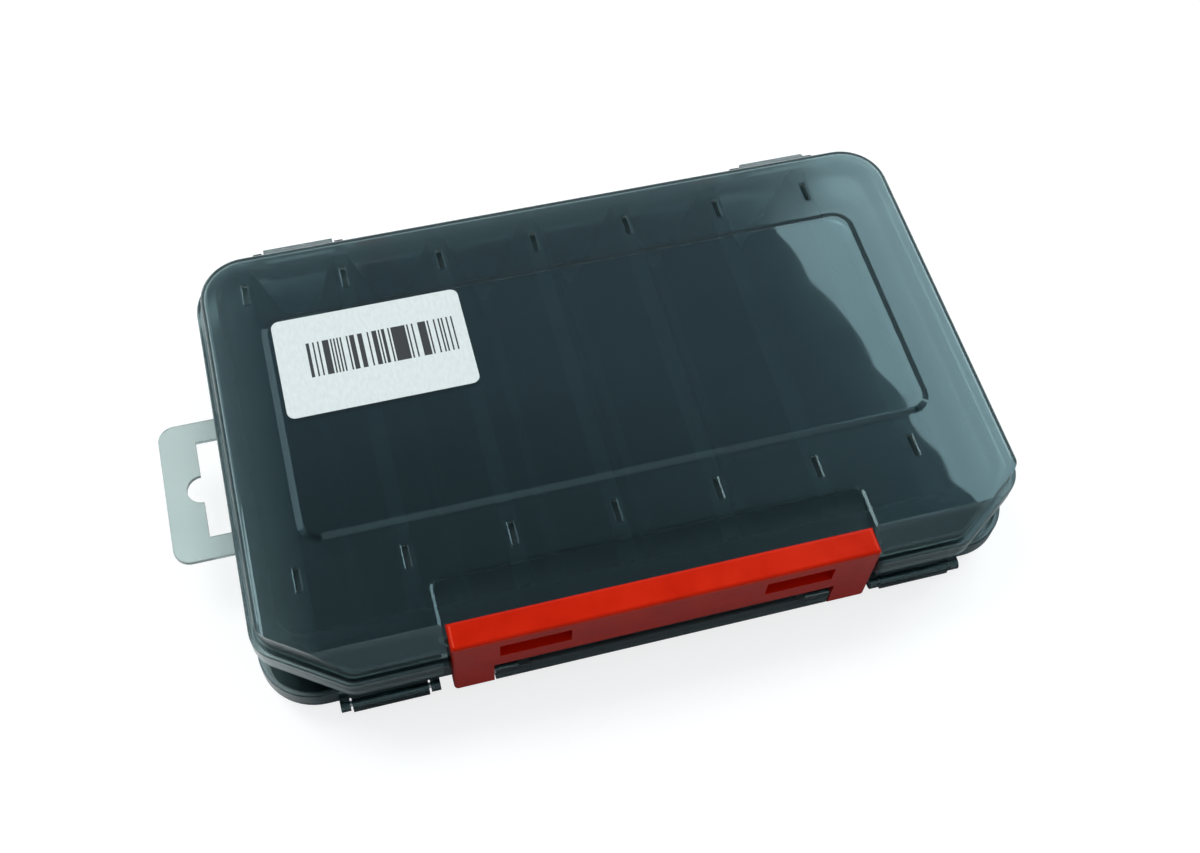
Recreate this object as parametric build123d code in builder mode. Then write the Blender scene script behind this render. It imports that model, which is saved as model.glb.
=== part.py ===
import os

from build123d import *

os.makedirs("parts", exist_ok=True)

# Flat two-sided tackle box, in millimetres. X runs along the box, Y from the front latch to the
# top lid's hinges, Z up. The origin is on the floor under the middle of the case. The lower half
# repeats the upper half, turned half a turn about X, so the bottom lid is hinged at the front.

# Case
case_width = 274.6
case_depth = 184.8
case_height = 52.0
wall = 1.8
latch_standoff = 8.0  # how far the latch side stands out past the hinge side
corner_radius = 20.0  # corners on the hinge side
chamfer_length = 29.4  # corners on the latch side, along X
chamfer_depth = 20.3  # corners on the latch side, along Y
chamfer_blend = 8.0
chamfer_side_blend = 13.0
rim_drop = 10.2  # lid plane down to the top of the rim
rim_height = 8.1
rim_overhang = 8.45  # tray wall out to the rim on the hinge side and the ends
rim_edge_radius = 0.8
overrun = 5.0  # how far a cut runs past what it cuts

# Wavy partition
trough_count = 7
ridge_width = 6.0
sheet = 1.6
tray_lid_gap = 0.8
seat_gap = 0.05

# Lids
ledge = 2.65  # rim left showing around the lid
rear_setback = 0.85  # more of it shows behind the lid
lid_seat_gap = 0.3
lid_inner_radius = 1.2
bevel_run = 7.85
bevel_drop = 6.0
panel_side_margin = 20.55
panel_rear_margin = 30.55
panel_front_margin = 46.7
panel_shift = -1.1  # the panel sits a little left of the middle
panel_radius = 8.0
panel_rise = 0.8
panel_border = 2.4
slot_width = 2.0
slot_length = 8.6
slot_edge_depth = 0.16
edge_flare = 68.0  # degrees that the edges of slots and bays lean from upright
slot_row_offset = 12.25  # panel edge to the middle of a slot row

# Latches
latch_face_inset = 0.2
latch_thickness = 6.0
latch_skin = 2.0
latch_web = 2.4
latch_edge_radius = 1.4
lip_reach = 10.2
lip_thickness = 2.5
lip_gap = 0.35
lip_rear_gap = 0.6
leg_width = 13.9
leg_tail = 3.2
leg_end_radius = 1.5
leg_gap = 0.6
leg_opening = 5.2
window_width = 24.4
window_height = 8.2
window_drop = 5.0
window_margin = 16.1
window_depth = 4.0
latch_back_gap = 0.35
bay_side_gap = 1.1
bay_ramp_length = 15.3
bay_step = 0.6
bay_corner_radius = 3.0
bay_edge_depth = 0.4

# Bars that carry the latches
bar_drop = 4.6
bar_height = 10.2
bar_edge_radius = 3.0
bar_end = 12.0
pivot_drop = 4.1
latch_pin_radius = 1.5
latch_pin_seat = 8.0

# Hinges
hinge_length = 34.4
hinge_corner_gap = 4.1
hinge_latch_gap = 4.3
hinge_drop = 2.8  # top of the rim down to the hinge axis
hinge_radius = 2.4
hinge_rim_gap = 0.4
ear_width = 3.25
ear_gap = 0.75
arm_rise = 4.2
hinge_pin_radius = 1.0
pin_clearance = 0.05
pin_recess = 0.3

# Hang tab
tab_reach = 21.9
tab_length = 56.4
tab_thickness = 1.8
tab_arm = 8.6
tab_slot_reach = 8.9
tab_notch_radius = 5.4
tab_corner_radius = 6.0
tab_edge_radius = 0.5

# Label
label_width = 68.7
label_depth = 41.9
label_radius = 3.0
label_thickness = 0.15
label_side_gap = 1.5
label_rear_gap = 0.75

# Places worked out from the sizes above
half_width = case_width / 2
latch_reach = case_depth / 2
hinge_reach = latch_reach - latch_standoff
lid_plane = case_height - panel_rise
rim_top = lid_plane - rim_drop
rim_bottom = rim_top - rim_height
tray_width = case_width - 2 * rim_overhang - 2 * wall
tray_depth = 2 * (hinge_reach - rim_overhang - wall)
tray_radius = corner_radius - rim_overhang - wall
tray_top = lid_plane - wall - tray_lid_gap
pitch = tray_width / trough_count
ridge_shift = -pitch / 4

hinge_axis_y = hinge_reach + hinge_rim_gap + hinge_radius
hinge_axis_z = rim_top - hinge_drop
hinge_outer = half_width - corner_radius - hinge_corner_gap
hinge_inner = hinge_outer - hinge_length
latch_half = hinge_inner - hinge_latch_gap
leg_inner = latch_half - leg_width
bar_half = leg_inner - leg_gap
bay_half = latch_half + bay_side_gap

latch_face = -(latch_reach - latch_face_inset)
latch_back = latch_face + latch_thickness
lip_rear = latch_face + lip_reach
lip_bottom = lid_plane - lip_thickness
land_top = lip_bottom - lip_gap
land_rear = lip_rear + lip_rear_gap
bay_rear = land_rear + bay_ramp_length
notch_face = latch_back + latch_back_gap

bar_top = rim_top - bar_drop
bar_bottom = bar_top - bar_height
pivot_y = latch_face + latch_thickness / 2
pivot_z = case_height - bar_top + pivot_drop
leg_opening_top = case_height - bar_bottom + leg_opening

lid_bottom = rim_top + lid_seat_gap
lid_half = half_width - ledge
lid_front = -(latch_reach - ledge)
lid_rear = hinge_reach - ledge - rear_setback
panel_front = lid_front + panel_front_margin
panel_rear = lid_rear - panel_rear_margin
panel_width = 2 * (lid_half - panel_side_margin)
panel_depth = panel_rear - panel_front
panel_y = (panel_front + panel_rear) / 2

turn_axis = Axis((0, 0, case_height / 2), (1, 0, 0))


def turned_over(piece):
    """The same moulding on the other half of the box."""
    return piece.rotate(turn_axis, 180)


def save(piece, name):
    piece.label = name
    export_step(piece, f"parts/{name}.step")


# Outline of the upper rim: round corners on the hinge side, chamfered ones on the latch side
with BuildSketch() as rim_outline:
    with BuildLine():
        Polyline(
            (-half_width, hinge_reach),
            (half_width, hinge_reach),
            (half_width, chamfer_depth - latch_reach),
            (half_width - chamfer_length, -latch_reach),
            (chamfer_length - half_width, -latch_reach),
            (-half_width, chamfer_depth - latch_reach),
            close=True,
        )
    make_face()
    rows = rim_outline.vertices().group_by(Axis.Y)
    fillet(rows[0], chamfer_blend)
    fillet(rim_outline.vertices().group_by(Axis.Y)[-2], chamfer_side_blend)
    fillet(rim_outline.vertices().group_by(Axis.Y)[-1], corner_radius)


def bay_ramp(grow):
    """Space over the latch bay's floor; grow lowers and widens it, for the underside."""
    with BuildPart() as ramp:
        with BuildSketch(Plane.YZ):
            with BuildLine():
                Polyline(
                    (bay_rear, lid_plane + overrun),
                    (bay_rear, lid_plane - bay_step - grow),
                    (land_rear, land_top - grow),
                    (-latch_reach - overrun, land_top - grow),
                    (-latch_reach - overrun, lid_plane + overrun),
                    close=True,
                )
            make_face()
        extrude(amount=bay_half + grow, both=True)
        rear_corners = ramp.edges().filter_by(Axis.Z).group_by(Axis.Y)[-1]
        fillet(rear_corners, bay_corner_radius + grow)
    return ramp.part


def lid_form(inset, drop, bottom):
    """Closed form of a lid: rounded at the sides and back, bevelled in front, corners cut off."""
    top = lid_plane - drop
    front = inset - latch_reach
    rear = hinge_reach - inset - rear_setback
    bevel_slope = bevel_drop / bevel_run
    bend = lid_front + bevel_run
    with BuildPart() as form:
        with BuildSketch(Plane.XY.offset(bottom)) as block:
            with Locations((0, (front + rear) / 2)):
                Rectangle(case_width - 2 * inset, rear - front)
            fillet(block.vertices().group_by(Axis.Y)[-1], corner_radius - inset)
        extrude(amount=top - bottom)
        top_edges = form.faces().sort_by(Axis.Z)[-1].edges()
        fillet(top_edges.sort_by(Axis.Y)[1:], lid_inner_radius + wall - drop)
        with BuildSketch(Plane.YZ):
            with BuildLine():
                Polyline(
                    (bend, top),
                    (front - overrun, top - bevel_slope * (bend - front + overrun)),
                    (front - overrun, top + overrun),
                    (bend, top + overrun),
                    close=True,
                )
            make_face()
        extrude(amount=case_width, both=True, mode=Mode.SUBTRACT)
        with BuildSketch(Plane.XY.offset(bottom)):
            add(rim_outline.sketch)
            offset(amount=-inset)
        extrude(amount=top - bottom, mode=Mode.INTERSECT)
        with BuildSketch(Plane.XY.offset(top)):
            with Locations((panel_shift, panel_y)):
                RectangleRounded(panel_width, panel_depth, panel_radius)
        with BuildSketch(Plane.XY.offset(top + panel_rise)):
            with Locations((panel_shift, panel_y)):
                RectangleRounded(
                    panel_width - 2 * panel_border,
                    panel_depth - 2 * panel_border,
                    panel_radius - panel_border,
                )
        loft(ruled=True)
        with BuildSketch(Plane.XY.offset(bottom)):
            with Locations((0, notch_face + drop)):
                notch_width = 2 * (bay_half + drop)
                Rectangle(notch_width, latch_reach, align=(Align.CENTER, Align.MAX))
        extrude(amount=top - bottom, mode=Mode.SUBTRACT)
        add(bay_ramp(drop), mode=Mode.SUBTRACT)
    return form.part


# Upper half of the case frame: a hollow rim around the tray wall, with ears and a latch bar behind
with BuildPart() as upper_frame:
    with BuildSketch(Plane.XY.offset(rim_bottom)):
        add(rim_outline.sketch)
    extrude(amount=rim_height)
    fillet(upper_frame.edges().filter_by(Axis.Z, reverse=True), rim_edge_radius)
    with BuildSketch(Plane.XY.offset(rim_bottom)):
        with Locations((0, notch_face)):
            Rectangle(2 * bay_half, latch_reach, align=(Align.CENTER, Align.MAX))
    extrude(amount=rim_height, mode=Mode.SUBTRACT)
    with BuildSketch(Plane.XY.offset(rim_bottom)) as rim_face:
        add(rim_outline.sketch)
        with Locations((0, notch_face)):
            Rectangle(2 * bay_half, latch_reach, align=(Align.CENTER, Align.MAX), mode=Mode.SUBTRACT)
        offset(amount=-wall, mode=Mode.REPLACE)
    extrude(amount=rim_height - wall, mode=Mode.SUBTRACT)
    with BuildSketch(Plane.XY.offset(case_height / 2)):
        RectangleRounded(tray_width + 2 * wall, tray_depth + 2 * wall, tray_radius + wall)
    extrude(amount=tray_top - case_height / 2)

    # Ears for the top lid's hinges, with a rib behind each one
    for side in (-1, 1):
        for ear_start in (hinge_inner, hinge_outer - ear_width):
            ear_middle = side * (ear_start + ear_width / 2)
            with BuildSketch(Plane.YZ.offset(ear_middle)):
                with Locations((hinge_axis_y, hinge_axis_z)):
                    Circle(hinge_radius)
                    Rectangle(
                        hinge_axis_y - hinge_reach + rim_overhang,
                        2 * hinge_radius,
                        align=(Align.MAX, Align.CENTER),
                    )
            extrude(amount=ear_width / 2, both=True)

    # Bar that carries the rear latch, hollow below
    bar_reach = -latch_face - hinge_reach
    with BuildSketch(Plane.YZ) as bar_face:
        with Locations((-latch_face, bar_bottom)):
            Rectangle(bar_reach + wall, bar_height, align=(Align.MAX, Align.MIN))
        outer_corners = bar_face.vertices().group_by(Axis.X)[-1]
        fillet(outer_corners.sort_by(Axis.Y)[-1], bar_edge_radius)
    extrude(amount=bar_half, both=True)
    with BuildSketch(Plane.XY.offset(bar_bottom)):
        with Locations((0, hinge_reach)):
            Rectangle(2 * (bar_half - bar_end), bar_reach - wall, align=(Align.CENTER, Align.MIN))
    extrude(amount=bar_height - wall, mode=Mode.SUBTRACT)

    # Bores for the hinge pins and the latch pins
    with BuildSketch(Plane.YZ.offset(hinge_inner)):
        with Locations((hinge_axis_y, hinge_axis_z)):
            Circle(hinge_pin_radius + pin_clearance)
    extrude(amount=hinge_length, mode=Mode.SUBTRACT)
    with BuildSketch(Plane.YZ.offset(-hinge_outer)):
        with Locations((hinge_axis_y, hinge_axis_z)):
            Circle(hinge_pin_radius + pin_clearance)
    extrude(amount=hinge_length, mode=Mode.SUBTRACT)
    for side in (-1, 1):
        with BuildSketch(Plane.YZ.offset(side * (bar_half - latch_pin_seat))):
            with Locations((-pivot_y, case_height - pivot_z)):
                Circle(latch_pin_radius + pin_clearance)
        extrude(amount=side * latch_pin_seat, mode=Mode.SUBTRACT)

    # The tray opens through the middle, and its front edge clears the lid's latch bay
    with BuildSketch(Plane.XY.offset(rim_bottom - case_height)):
        RectangleRounded(tray_width, tray_depth, tray_radius)
    extrude(amount=2 * case_height, mode=Mode.SUBTRACT)
    add(bay_ramp(wall + tray_lid_gap), mode=Mode.SUBTRACT)

with BuildPart() as case_frame:
    add(upper_frame.part)
    add(turned_over(upper_frame.part))
save(case_frame.part, "case_frame")

# Wavy partition: a sheet that folds up and down between the two lids. A ridge of the upper side
# is a trough of the lower side. The first ridge runs to the left wall, the last trough to the right.
wave_rise = 2 * tray_top - case_height - sheet
ridge_half = ridge_width / 2
inner_half = (ridge_half - sheet + sheet * (pitch / 2 - ridge_half) / wave_rise) / (1 + sheet / wave_rise)
wave_low = case_height - tray_top
upper_side = [(-tray_width / 2, tray_top)]
lower_side = [(-tray_width / 2, tray_top - sheet)]
for fold in range(trough_count):
    ridge_x = ridge_shift + (fold - trough_count // 2) * pitch
    trough_x = ridge_x + pitch / 2
    if fold > 0:
        upper_side.append((ridge_x - ridge_half, tray_top))
        lower_side.append((ridge_x - inner_half, tray_top - sheet))
    upper_side.append((ridge_x + ridge_half, tray_top))
    lower_side.append((ridge_x + inner_half, tray_top - sheet))
    upper_side.append((trough_x - inner_half, wave_low + sheet))
    lower_side.append((trough_x - ridge_half, wave_low))
    if fold < trough_count - 1:
        upper_side.append((trough_x + inner_half, wave_low + sheet))
        lower_side.append((trough_x + ridge_half, wave_low))
upper_side.append((tray_width / 2, wave_low + sheet))
lower_side.append((tray_width / 2, wave_low))

with BuildPart() as wave_partition:
    with BuildSketch(Plane.XZ):
        with BuildLine():
            Polyline(*upper_side, *reversed(lower_side), close=True)
        make_face()
    extrude(amount=tray_depth / 2, both=True)
    with BuildSketch():
        RectangleRounded(tray_width - 2 * seat_gap, tray_depth - 2 * seat_gap, tray_radius - seat_gap)
    extrude(amount=case_height, mode=Mode.INTERSECT)
    add(bay_ramp(wall + tray_lid_gap), mode=Mode.SUBTRACT)
    add(turned_over(bay_ramp(wall + tray_lid_gap)), mode=Mode.SUBTRACT)
save(wave_partition.part, "wave_partition")

# Hang tab: a flat loop with a hook slot, between the rims at the left end
tab_root = -(half_width - rim_overhang)
tab_end = -(half_width + tab_reach)
tab_slot_end = -(half_width + tab_slot_reach)
with BuildPart() as hang_tab:
    with BuildSketch(Plane.XY.offset((case_height - tab_thickness) / 2)) as tab_face:
        with Locations((tab_root, 0)):
            Rectangle(tab_root - tab_end, tab_length, align=(Align.MAX, Align.CENTER))
        fillet(tab_face.vertices().group_by(Axis.X)[0], tab_corner_radius)
        with Locations((tab_root, 0)):
            Rectangle(
                tab_root - tab_slot_end,
                tab_length - 2 * tab_arm,
                align=(Align.MAX, Align.CENTER),
                mode=Mode.SUBTRACT,
            )
        with Locations((tab_slot_end, 0)):
            Circle(tab_notch_radius, mode=Mode.SUBTRACT)
    extrude(amount=tab_thickness)
    fillet(hang_tab.faces().group_by(Axis.Z)[-1].edges(), tab_edge_radius)
save(hang_tab.part, "hang_tab")

# Top lid: a thin shell with vent slots over the ridges, flared edges, and two hinge barrels behind
with BuildPart() as top_lid:
    add(lid_form(ledge, 0, lid_bottom))
    add(lid_form(ledge + wall, wall, lid_bottom - overrun), mode=Mode.SUBTRACT)
    with BuildSketch(Plane.XY.offset(lid_plane - slot_edge_depth)) as slots:
        with Locations((ridge_shift, panel_y)):
            with GridLocations(pitch, panel_depth + 2 * slot_row_offset, trough_count, 2):
                Rectangle(slot_width, slot_length)
    extrude(amount=-2 * wall, mode=Mode.SUBTRACT)
    extrude(slots.sketch, amount=slot_edge_depth, taper=-edge_flare, mode=Mode.SUBTRACT)
    with BuildSketch(Plane.XY.offset(lid_plane - bay_edge_depth)) as bay_outline:
        with Locations((0, bay_rear)):
            Rectangle(2 * bay_half, bay_rear + latch_reach, align=(Align.CENTER, Align.MAX))
        fillet(bay_outline.vertices().group_by(Axis.Y)[-1], bay_corner_radius)
    extrude(amount=bay_edge_depth, taper=-edge_flare, mode=Mode.SUBTRACT)
    barrel_length = hinge_length - 2 * (ear_width + ear_gap)
    for side in (-1, 1):
        barrel_middle = side * (hinge_inner + hinge_length / 2)
        with BuildSketch(Plane.YZ.offset(barrel_middle)):
            with BuildLine():
                Polyline(
                    (lid_rear - wall / 2, lid_bottom),
                    (lid_rear - wall / 2, lid_bottom + arm_rise),
                    (lid_rear, lid_bottom + arm_rise),
                    (hinge_axis_y + hinge_radius, hinge_axis_z + hinge_radius),
                    (hinge_axis_y + hinge_radius, hinge_axis_z),
                    (hinge_axis_y - hinge_radius, hinge_axis_z),
                    (hinge_axis_y - hinge_radius, lid_bottom),
                    close=True,
                )
            make_face()
            with Locations((hinge_axis_y, hinge_axis_z)):
                Circle(hinge_radius)
                Circle(hinge_pin_radius + pin_clearance, mode=Mode.SUBTRACT)
        extrude(amount=barrel_length / 2, both=True)
save(top_lid.part, "top_lid")

with BuildPart() as bottom_lid:
    add(turned_over(top_lid.part))
save(bottom_lid.part, "bottom_lid")

# Latch: a broad plate on two legs, with a lip that hooks over the lid
with BuildPart() as front_latch:
    leg_end = pivot_z - leg_tail
    with BuildSketch(Plane.YZ) as latch_side:
        with Locations((latch_face, leg_end)):
            Rectangle(latch_thickness, lid_plane - leg_end, align=(Align.MIN, Align.MIN))
        fillet(latch_side.vertices().group_by(Axis.Y)[0], leg_end_radius)
        with Locations((latch_face, lid_plane)):
            Rectangle(lip_reach, lip_thickness, align=(Align.MIN, Align.MAX))
    extrude(amount=latch_half, both=True)
    top_edges = front_latch.faces().sort_by(Axis.Z)[-1].edges()
    end_edges = front_latch.edges().filter_by(Axis.Z).group_by(Axis.Y)[0]
    fillet(top_edges + end_edges, latch_edge_radius)

    # Gap between the legs, where the bar sits
    with BuildSketch(Plane.XZ.offset(-latch_face - latch_thickness / 2)):
        with Locations((0, leg_opening_top)):
            Rectangle(2 * leg_inner, case_height, align=(Align.CENTER, Align.MAX))
    extrude(amount=latch_thickness, both=True, mode=Mode.SUBTRACT)

    # Two blind windows in the face
    window_middle = latch_half - window_margin - window_width / 2
    with BuildSketch(Plane.XZ.offset(-latch_face)):
        with Locations((0, lid_plane - window_drop - window_height / 2)):
            with GridLocations(2 * window_middle, 0, 2, 1):
                Rectangle(window_width, window_height)
    extrude(amount=-window_depth, mode=Mode.SUBTRACT)

    # Hollows in the back, between the windows and over the legs
    hollow_bottom = leg_opening_top + latch_web
    hollow_height = lip_bottom - latch_web - hollow_bottom
    middle_hollow = 2 * (window_middle - window_width / 2 - latch_web)
    end_hollow = window_margin - 2 * latch_web
    end_hollow_x = latch_half - latch_web - end_hollow / 2
    with BuildSketch(Plane.XZ.offset(-latch_back)):
        with Locations((0, hollow_bottom)):
            Rectangle(middle_hollow, hollow_height, align=(Align.CENTER, Align.MIN))
        with Locations((-end_hollow_x, hollow_bottom), (end_hollow_x, hollow_bottom)):
            Rectangle(end_hollow, hollow_height, align=(Align.CENTER, Align.MIN))
    extrude(amount=latch_thickness - latch_skin, mode=Mode.SUBTRACT)

    # Pivot bores through both legs
    with BuildSketch(Plane.YZ):
        with Locations((pivot_y, pivot_z)):
            Circle(latch_pin_radius + pin_clearance)
    extrude(amount=latch_half, both=True, mode=Mode.SUBTRACT)
save(front_latch.part, "front_latch")

with BuildPart() as rear_latch:
    add(turned_over(front_latch.part))
save(rear_latch.part, "rear_latch")

# Steel pins: each hinge turns on one, and each leg of a latch on one
for side, side_name in ((-1, "left"), (1, "right")):
    hinge_pin_middle = side * (hinge_inner + hinge_length / 2)
    with BuildPart() as top_hinge_pin:
        with BuildSketch(Plane.YZ.offset(hinge_pin_middle)):
            with Locations((hinge_axis_y, hinge_axis_z)):
                Circle(hinge_pin_radius)
        extrude(amount=hinge_length / 2 - pin_recess, both=True)
    save(top_hinge_pin.part, f"top_hinge_pin_{side_name}")
    with BuildPart() as bottom_hinge_pin:
        add(turned_over(top_hinge_pin.part))
    save(bottom_hinge_pin.part, f"bottom_hinge_pin_{side_name}")

    latch_pin_start = bar_half - latch_pin_seat + pin_clearance
    with BuildPart() as front_latch_pin:
        with BuildSketch(Plane.YZ.offset(side * latch_pin_start)):
            with Locations((pivot_y, pivot_z)):
                Circle(latch_pin_radius)
        extrude(amount=side * (latch_half - pin_recess - latch_pin_start))
    save(front_latch_pin.part, f"front_latch_pin_{side_name}")
    with BuildPart() as rear_latch_pin:
        add(turned_over(front_latch_pin.part))
    save(rear_latch_pin.part, f"rear_latch_pin_{side_name}")

# Paper label on the rear left corner of the raised panel
label_x = panel_shift - panel_width / 2 + panel_border + label_side_gap
label_y = panel_rear - panel_border - label_rear_gap
with BuildPart() as label:
    with BuildSketch(Plane.XY.offset(case_height)):
        with Locations((label_x + label_width / 2, label_y - label_depth / 2)):
            RectangleRounded(label_width, label_depth, label_radius)
    extrude(amount=label_thickness)
save(label.part, "label")
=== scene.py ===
import math

import bpy
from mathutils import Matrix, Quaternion, Vector

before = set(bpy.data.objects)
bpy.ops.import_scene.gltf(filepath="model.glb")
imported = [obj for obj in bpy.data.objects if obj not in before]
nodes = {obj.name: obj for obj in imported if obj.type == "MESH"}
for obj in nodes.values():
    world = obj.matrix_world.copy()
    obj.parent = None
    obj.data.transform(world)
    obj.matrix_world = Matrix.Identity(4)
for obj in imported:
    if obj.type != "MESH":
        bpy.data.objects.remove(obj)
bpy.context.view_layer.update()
print("frame loaded,", len(nodes), "nodes")


def newMaterial(name):
    material = bpy.data.materials.new(name)
    material.use_nodes = True
    tree = material.node_tree
    return material, tree, tree.nodes["Principled BSDF"]


def addNode(tree, kind, **settings):
    node = tree.nodes.new("ShaderNode" + kind)
    for key, value in settings.items():
        if key in node.inputs:
            node.inputs[key].default_value = value
        else:
            setattr(node, key, value)
    return node


# grey value of a texture spread between two colours
def addRamp(tree, value, low, high, start=0.35, end=0.65):
    ramp = addNode(tree, "ValToRGB")
    ramp.color_ramp.elements[0].position = start
    ramp.color_ramp.elements[0].color = low
    ramp.color_ramp.elements[1].position = end
    ramp.color_ramp.elements[1].color = high
    tree.links.new(value, ramp.inputs["Fac"])
    return ramp.outputs["Color"]


# grey value of a texture spread between two numbers
def addSpread(tree, value, low, high, start=0.35, end=0.65):
    spread = addNode(tree, "MapRange")
    spread.inputs["From Min"].default_value = start
    spread.inputs["From Max"].default_value = end
    spread.inputs["To Min"].default_value = low
    spread.inputs["To Max"].default_value = high
    tree.links.new(value, spread.inputs["Value"])
    return spread.outputs["Result"]


def addLarger(tree, first, second):
    larger = addNode(tree, "Math", operation="MAXIMUM")
    tree.links.new(first, larger.inputs[0])
    tree.links.new(second, larger.inputs[1])
    return larger.outputs[0]


def addNoise(tree, place, scale, detail=2.0, stretch=(1, 1, 1)):
    turn = addNode(tree, "Mapping")
    turn.inputs["Scale"].default_value = stretch
    noise = addNode(tree, "TexNoise", Scale=scale, Detail=detail)
    tree.links.new(place.outputs["Object"], turn.inputs["Vector"])
    tree.links.new(turn.outputs["Vector"], noise.inputs["Vector"])
    return noise.outputs["Fac"]


def addBump(tree, value, height):
    bump = addNode(tree, "Bump", Distance=height, Strength=1.0)
    tree.links.new(value, bump.inputs["Height"])
    return bump.outputs["Normal"]


def dress(names, material):
    for name in names:
        nodes[name].data.materials.clear()
        nodes[name].data.materials.append(material)


# smoke plastic: each wall lets through about its tint
lidSmoke = {
    "tintLow": (0.24, 0.32, 0.325, 1),
    "tintHigh": (0.28, 0.36, 0.36, 1),
    "sheen": (0.62, 0.90, 1.0, 1),
    "ior": 1.5,
    "flowScale": 9.0,
    "flowStretch": (1, 2.5, 1),
    "smearScale": 38.0,
    "roughLow": 0.01,
    "roughHigh": 0.03,
    "middleHeight": 0.026,  # middle of the case
    "satin": 0.24,  # side walls and bevels are less shiny than the flat face
    "satinRange": (0.0236, 0.0247),  # distance from the middle where that ends
    "warpScale": 30.0,  # slow waves left by moulding
    "warpHeight": 0.00012,
    "marginSheenClarity": 0.88,  # painted sheen: how clear the plastic is at the margins at the sides and the back, less clear there so these margins read lighter
    "sideSheenRange": (0.115, 0.135),
    "rearSheenRange": (0.065, 0.082),
    "rearSoft": 0.11,  # the margin behind the panel mirrors less sharply
    "rearSoftRange": (0.0465, 0.0515),
}
# the lid and case tints are the smoke plastic's colour set darker than the tab's clearer tint, partly a
# painted shade for the dim inside of the box
caseSmoke = dict(
    lidSmoke, tintLow=(0.22, 0.29, 0.295, 1), tintHigh=(0.25, 0.32, 0.32, 1), roughLow=0.18, roughHigh=0.26,
    warpHeight=0.00005, marginSheenClarity=1.0,
)
tabSmoke = dict(caseSmoke, tintLow=(0.42, 0.51, 0.49, 1), tintHigh=(0.47, 0.56, 0.54, 1))
waveSmoke = dict(caseSmoke, roughLow=0.45, roughHigh=0.55, satin=0.0)


def makeSmoke(name, settings):
    material, tree, shader = newMaterial(name)
    shader.inputs["Specular Tint"].default_value = settings["sheen"]
    shader.inputs["IOR"].default_value = settings["ior"]
    shader.inputs["Transmission Weight"].default_value = 1.0
    place = addNode(tree, "TexCoord")
    # cloudy tint where the melt flowed
    flow = addNoise(tree, place, settings["flowScale"], 3.0, settings["flowStretch"])
    tint = addRamp(tree, flow, settings["tintLow"], settings["tintHigh"])
    tree.links.new(tint, shader.inputs["Base Color"])
    # handling marks
    smear = addNoise(tree, place, settings["smearScale"], 5.0)
    rough = addSpread(tree, smear, settings["roughLow"], settings["roughHigh"])
    # height above or below the middle of the case
    split = addNode(tree, "SeparateXYZ")
    lift = addNode(tree, "Math", operation="SUBTRACT")
    lift.inputs[1].default_value = settings["middleHeight"]
    height = addNode(tree, "Math", operation="ABSOLUTE")
    tree.links.new(place.outputs["Object"], split.inputs[0])
    tree.links.new(split.outputs["Z"], lift.inputs[0])
    tree.links.new(lift.outputs[0], height.inputs[0])
    satin = addSpread(tree, height.outputs[0], settings["satin"], 0.0, *settings["satinRange"])
    rough = addLarger(tree, rough, satin)
    warp = addNoise(tree, place, settings["warpScale"], 1.0)
    tree.links.new(addBump(tree, warp, settings["warpHeight"]), shader.inputs["Normal"])
    # painted sheen: the side and back margins let less light through and so read lighter
    if settings["marginSheenClarity"] < 1:
        across = addNode(tree, "Math", operation="ABSOLUTE")
        tree.links.new(split.outputs["X"], across.inputs[0])
        side = addSpread(tree, across.outputs[0], 1.0, settings["marginSheenClarity"], *settings["sideSheenRange"])
        rear = addSpread(tree, split.outputs["Y"], 1.0, settings["marginSheenClarity"], *settings["rearSheenRange"])
        clear = addNode(tree, "Math", operation="MINIMUM")
        tree.links.new(side, clear.inputs[0])
        tree.links.new(rear, clear.inputs[1])
        tree.links.new(clear.outputs[0], shader.inputs["Transmission Weight"])
        soft = addSpread(tree, split.outputs["Y"], 0.0, settings["rearSoft"], *settings["rearSoftRange"])
        rough = addLarger(tree, rough, soft)
    tree.links.new(rough, shader.inputs["Roughness"])
    return material


dress(("top_lid", "bottom_lid"), makeSmoke("smokeLid", lidSmoke))
dress(("case_frame",), makeSmoke("smokeCase", caseSmoke))
dress(("hang_tab",), makeSmoke("smokeTab", tabSmoke))
dress(("wave_partition",), makeSmoke("smokeWave", waveSmoke))
print("smoke plastic done")

# red latches
red = {
    "low": (0.575, 0.0105, 0.001, 1),
    "high": (0.67, 0.015, 0.002, 1),
    "mottleScale": 70.0,
    "roughLow": 0.17,
    "roughHigh": 0.25,
    "gloss": 0.5,
    "sheen": (1.0, 0.22, 0.13, 1),
    "grainScale": 1600.0,
    "grainHeight": 0.00002,
}


def makeRed():
    material, tree, shader = newMaterial("redPlastic")
    shader.inputs["Specular IOR Level"].default_value = red["gloss"]
    shader.inputs["Specular Tint"].default_value = red["sheen"]
    place = addNode(tree, "TexCoord")
    mottle = addNoise(tree, place, red["mottleScale"], 6.0)
    tree.links.new(addRamp(tree, mottle, red["low"], red["high"]), shader.inputs["Base Color"])
    tree.links.new(addSpread(tree, mottle, red["roughLow"], red["roughHigh"]), shader.inputs["Roughness"])
    grain = addNoise(tree, place, red["grainScale"], 2.0)
    tree.links.new(addBump(tree, grain, red["grainHeight"]), shader.inputs["Normal"])
    return material


dress(("front_latch", "rear_latch"), makeRed())
print("latches done")

# drawn steel pins
steel = {
    "low": (0.48, 0.48, 0.49, 1),
    "high": (0.62, 0.62, 0.63, 1),
    "roughLow": 0.2,
    "roughHigh": 0.38,
    "drawScale": 2200.0,
    "drawStretch": (0.05, 1, 1),
}


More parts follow.
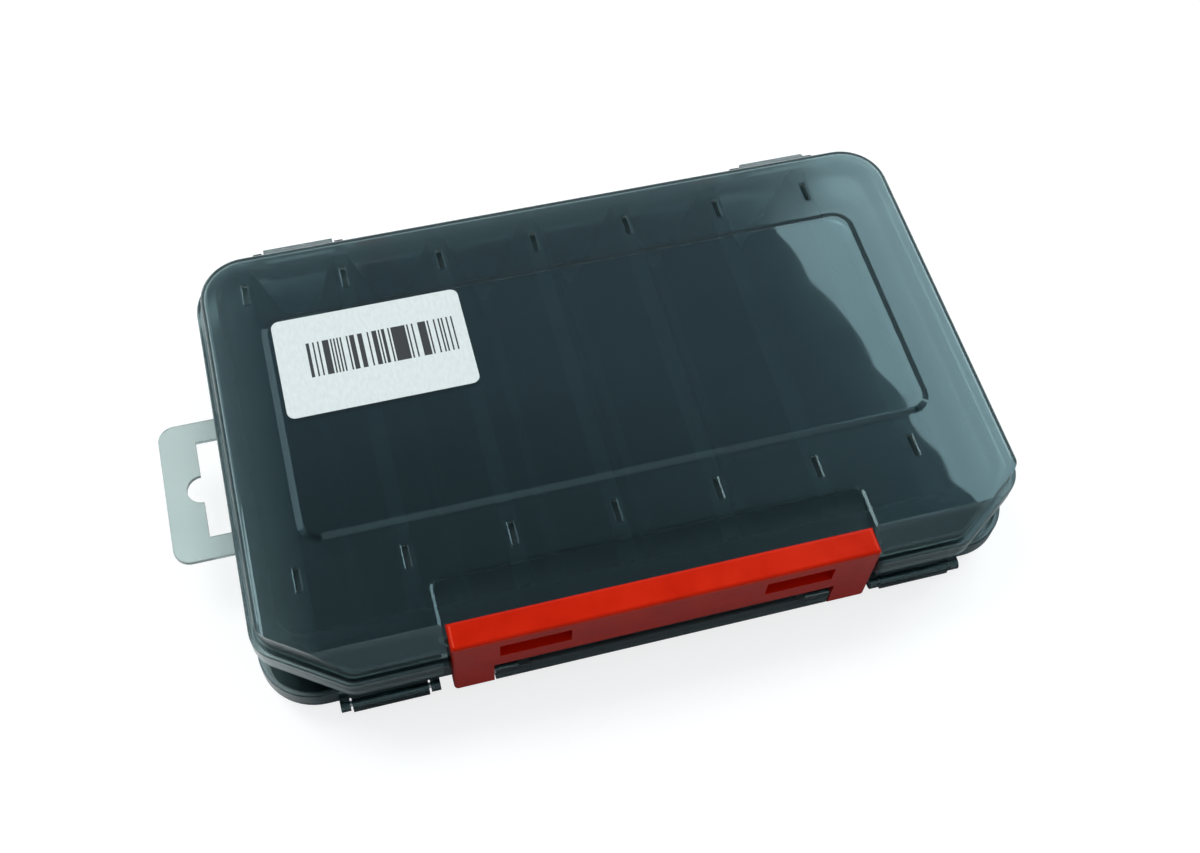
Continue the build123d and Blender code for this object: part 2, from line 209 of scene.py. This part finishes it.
def makeSteel():
    material, tree, shader = newMaterial("pinSteel")
    shader.inputs["Metallic"].default_value = 1.0
    place = addNode(tree, "TexCoord")
    drawn = addNoise(tree, place, steel["drawScale"], 3.0, steel["drawStretch"])
    tree.links.new(addRamp(tree, drawn, steel["low"], steel["high"]), shader.inputs["Base Color"])
    tree.links.new(addSpread(tree, drawn, steel["roughLow"], steel["roughHigh"]), shader.inputs["Roughness"])
    return material


dress([name for name in nodes if "_pin_" in name], makeSteel())
print("pins done")

# paper label with a row of made-up bars
paper = {
    "low": (0.755, 0.765, 0.75, 1),
    "high": (0.815, 0.825, 0.81, 1),
    "ink": (0.02, 0.02, 0.022, 1),
    "roughness": 0.5,
    "barsLeft": -0.1018,
    "barsRight": -0.0470,
    "barsFront": 0.0207,
    "barsBack": 0.0355,
    "barStep": 0.00058,
    "bareShare": 0.52,  # share of the steps without ink
    "fibreScale": 900.0,
    "fibreStretch": (1, 0.4, 1),
    "fibreHeight": 0.000006,
}


def makePaper():
    material, tree, shader = newMaterial("labelPaper")
    shader.inputs["Roughness"].default_value = paper["roughness"]
    place = addNode(tree, "TexCoord")
    fibre = addNoise(tree, place, paper["fibreScale"], 4.0, paper["fibreStretch"])
    stock = addRamp(tree, fibre, paper["low"], paper["high"])
    split = addNode(tree, "SeparateXYZ")
    tree.links.new(place.outputs["Object"], split.inputs[0])
    # a chance value for each step along the row, inked where it is high
    step = addNode(tree, "Math", operation="DIVIDE")
    step.inputs[1].default_value = paper["barStep"]
    whole = addNode(tree, "Math", operation="FLOOR")
    chance = addNode(tree, "TexWhiteNoise", noise_dimensions="1D")
    inked = addNode(tree, "Math", operation="GREATER_THAN")
    inked.inputs[1].default_value = paper["bareShare"]
    tree.links.new(split.outputs["X"], step.inputs[0])
    tree.links.new(step.outputs[0], whole.inputs[0])
    tree.links.new(whole.outputs[0], chance.inputs["W"])
    tree.links.new(chance.outputs["Value"], inked.inputs[0])
    # only inside the row
    inside = inked.outputs[0]
    limits = (
        ("X", "GREATER_THAN", paper["barsLeft"]),
        ("X", "LESS_THAN", paper["barsRight"]),
        ("Y", "GREATER_THAN", paper["barsFront"]),
        ("Y", "LESS_THAN", paper["barsBack"]),
    )
    for axis, side, limit in limits:
        test = addNode(tree, "Math", operation=side)
        test.inputs[1].default_value = limit
        both = addNode(tree, "Math", operation="MULTIPLY")
        tree.links.new(split.outputs[axis], test.inputs[0])
        tree.links.new(inside, both.inputs[0])
        tree.links.new(test.outputs[0], both.inputs[1])
        inside = both.outputs[0]
    printed = addNode(tree, "MixRGB")
    printed.inputs["Color2"].default_value = paper["ink"]
    tree.links.new(inside, printed.inputs["Fac"])
    tree.links.new(stock, printed.inputs["Color1"])
    tree.links.new(printed.outputs["Color"], shader.inputs["Base Color"])
    tree.links.new(addBump(tree, fibre, paper["fibreHeight"]), shader.inputs["Normal"])
    return material


dress(("label",), makePaper())
print("label done")

# floor: white to the camera; seen through the plastic or mirrored in it, a painted shadow makes it dark
# under the box and in front
floor = {
    "size": 6.0,
    "drop": 0.0002,  # just under the box
    "roughness": 0.9,
    "color": (0.38, 0.385, 0.39, 1),
    "glow": 0.78,
    "paintedShadowMiddle": (0.012, -0.035, 0),
    "paintedShadowHalf": (0.125, 0.10, 1),
    "fadeStart": 0.004,
    "fadeEnd": 0.045,
}


def makeFloor():
    mesh = bpy.data.meshes.new("floor")
    half = floor["size"] / 2
    corners = [(-half, -half, 0), (half, -half, 0), (half, half, 0), (-half, half, 0)]
    mesh.from_pydata(corners, [], [(0, 1, 2, 3)])
    plane = bpy.data.objects.new("floor", mesh)
    plane.location.z = -floor["drop"]
    bpy.context.scene.collection.objects.link(plane)
    material, tree, shader = newMaterial("floorPaper")
    shader.inputs["Base Color"].default_value = floor["color"]
    shader.inputs["Roughness"].default_value = floor["roughness"]
    shader.inputs["Specular IOR Level"].default_value = 0.0
    shader.inputs["Emission Color"].default_value = (1, 1, 1, 1)
    # distance outside the painted shadow patch
    place = addNode(tree, "TexCoord")
    shift = addNode(tree, "VectorMath", operation="SUBTRACT")
    shift.inputs[1].default_value = floor["paintedShadowMiddle"]
    size = addNode(tree, "VectorMath", operation="ABSOLUTE")
    past = addNode(tree, "VectorMath", operation="SUBTRACT")
    past.inputs[1].default_value = floor["paintedShadowHalf"]
    outside = addNode(tree, "VectorMath", operation="MAXIMUM")
    away = addNode(tree, "VectorMath", operation="LENGTH")
    fade = addNode(tree, "MapRange", interpolation_type="SMOOTHSTEP")
    fade.inputs["From Min"].default_value = floor["fadeStart"]
    fade.inputs["From Max"].default_value = floor["fadeEnd"]
    tree.links.new(place.outputs["Object"], shift.inputs[0])
    tree.links.new(shift.outputs[0], size.inputs[0])
    tree.links.new(size.outputs[0], past.inputs[0])
    tree.links.new(past.outputs[0], outside.inputs[0])
    tree.links.new(outside.outputs[0], away.inputs[0])
    tree.links.new(away.outputs["Value"], fade.inputs["Value"])
    # painted shadow: the glow seen through the plastic or mirrored in it fades out near the box
    path = addNode(tree, "LightPath")
    through = addNode(tree, "Math", operation="MAXIMUM")
    faded = addNode(tree, "Math", operation="MULTIPLY")
    seen = addNode(tree, "Math", operation="MAXIMUM")
    glow = addNode(tree, "Math", operation="MULTIPLY")
    glow.inputs[1].default_value = floor["glow"]
    tree.links.new(path.outputs["Is Transmission Ray"], through.inputs[0])
    tree.links.new(path.outputs["Is Glossy Ray"], through.inputs[1])
    tree.links.new(through.outputs[0], faded.inputs[0])
    tree.links.new(fade.outputs["Result"], faded.inputs[1])
    tree.links.new(faded.outputs[0], seen.inputs[0])
    tree.links.new(path.outputs["Is Camera Ray"], seen.inputs[1])
    tree.links.new(seen.outputs[0], glow.inputs[0])
    tree.links.new(glow.outputs[0], shader.inputs["Emission Strength"])
    mesh.materials.append(material)


makeFloor()

# lamps, each aimed at a point, and the sky; the window is two lamps side by side
lamps = [
    {"name": "windowLow", "place": (1.938, 1.010, 2.2), "aim": (1.938, 1.010, 0), "roll": 13,
     "size": (1.7, 1.62), "power": 35, "color": (0.88, 1.0, 1.0)},
    {"name": "windowHigh", "place": (1.746, 2.197, 2.2), "aim": (1.746, 2.197, 0), "roll": 13,
     "size": (1.54, 0.78), "power": 12.5, "color": (0.88, 1.0, 1.0)},
    {"name": "overhead", "place": (-0.9, 0.75, 2.2), "aim": (-0.9, 0.75, 0), "roll": 0,
     "size": (1.0, 0.9), "power": 18, "color": (1.0, 0.97, 0.92)},
    {"name": "leftFill", "place": (-1.6, 1.45, 1.7), "aim": (0, 0, 0), "roll": 0,
     "size": (1.6, 1.4), "power": 9, "color": (0.9, 1.0, 1.0)},
    {"name": "frontFill", "place": (0.35, -1.75, 1.38), "aim": (0, -0.085, 0.048), "roll": 0,
     "size": (1.5, 0.6), "power": 3.2, "color": (1.0, 1.0, 1.0)},
    {"name": "borderFill", "place": (0.41, -0.41, 2.2), "aim": (0.41, -0.41, 0), "roll": 0,
     "size": (1.5, 0.3), "power": 1.2, "color": (0.9, 1.0, 1.0)},
]
sky = {
    "levels": (
        (0.0, (0.19, 0.24, 0.27, 1)),
        (0.75, (0.64, 0.77, 0.85, 1)),
        (0.84, (0.585, 0.71, 0.785, 1)),
        (0.875, (0.43, 0.53, 0.58, 1)),
        (0.90, (0.33, 0.40, 0.44, 1)),
    ),
    "frontShade": 0.25,
    "shadeRange": (-0.6, 0.25),
}


# turned to face a point, then rolled by some degrees
def aimAt(obj, settings):
    obj.location = settings["place"]
    look = (Vector(settings["aim"]) - obj.location).to_track_quat("-Z", "Y")
    turn = Quaternion((0, 0, 1), math.radians(settings["roll"]))
    obj.rotation_euler = (look @ turn).to_euler()
    bpy.context.scene.collection.objects.link(obj)


def makeLamps():
    for lamp in lamps:
        data = bpy.data.lights.new(lamp["name"], "AREA")
        data.shape = "RECTANGLE"
        data.size, data.size_y = lamp["size"]
        data.energy = lamp["power"]
        data.color = lamp["color"]
        aimAt(bpy.data.objects.new(lamp["name"], data), lamp)
    world = bpy.data.worlds.new("sky")
    world.use_nodes = True
    tree = world.node_tree
    background = tree.nodes["Background"]
    place = addNode(tree, "TexCoord")
    split = addNode(tree, "SeparateXYZ")
    ramp = addNode(tree, "ValToRGB")
    levels = ramp.color_ramp.elements
    levels.remove(levels[1])
    levels[0].color = sky["levels"][0][1]
    for height, color in sky["levels"][1:]:
        levels.new(height).color = color
    tree.links.new(place.outputs["Generated"], split.inputs[0])
    tree.links.new(split.outputs["Z"], ramp.inputs["Fac"])
    tree.links.new(ramp.outputs["Color"], background.inputs["Color"])
    # the room in front is darker than the side behind
    shade = addSpread(tree, split.outputs["Y"], sky["frontShade"], 1.0, *sky["shadeRange"])
    tree.links.new(shade, background.inputs["Strength"])
    bpy.context.scene.world = world


makeLamps()

# camera, at the photograph's angle
camera = {
    "place": (-0.09484, -0.27383, 0.49952),
    "aim": (-0.00603, -0.02206, 0.0512),
    "roll": 5.1,
    "lens": 44.48,
    "sensor": 36.0,
    "clipStart": 0.01,
}


def makeCamera():
    data = bpy.data.cameras.new("camera")
    data.sensor_width = camera["sensor"]
    data.lens = camera["lens"]
    data.clip_start = camera["clipStart"]
    obj = bpy.data.objects.new("camera", data)
    aimAt(obj, camera)
    bpy.context.scene.camera = obj


makeCamera()
bpy.context.scene.view_settings.view_transform = "Standard"
print("lamps and camera done")
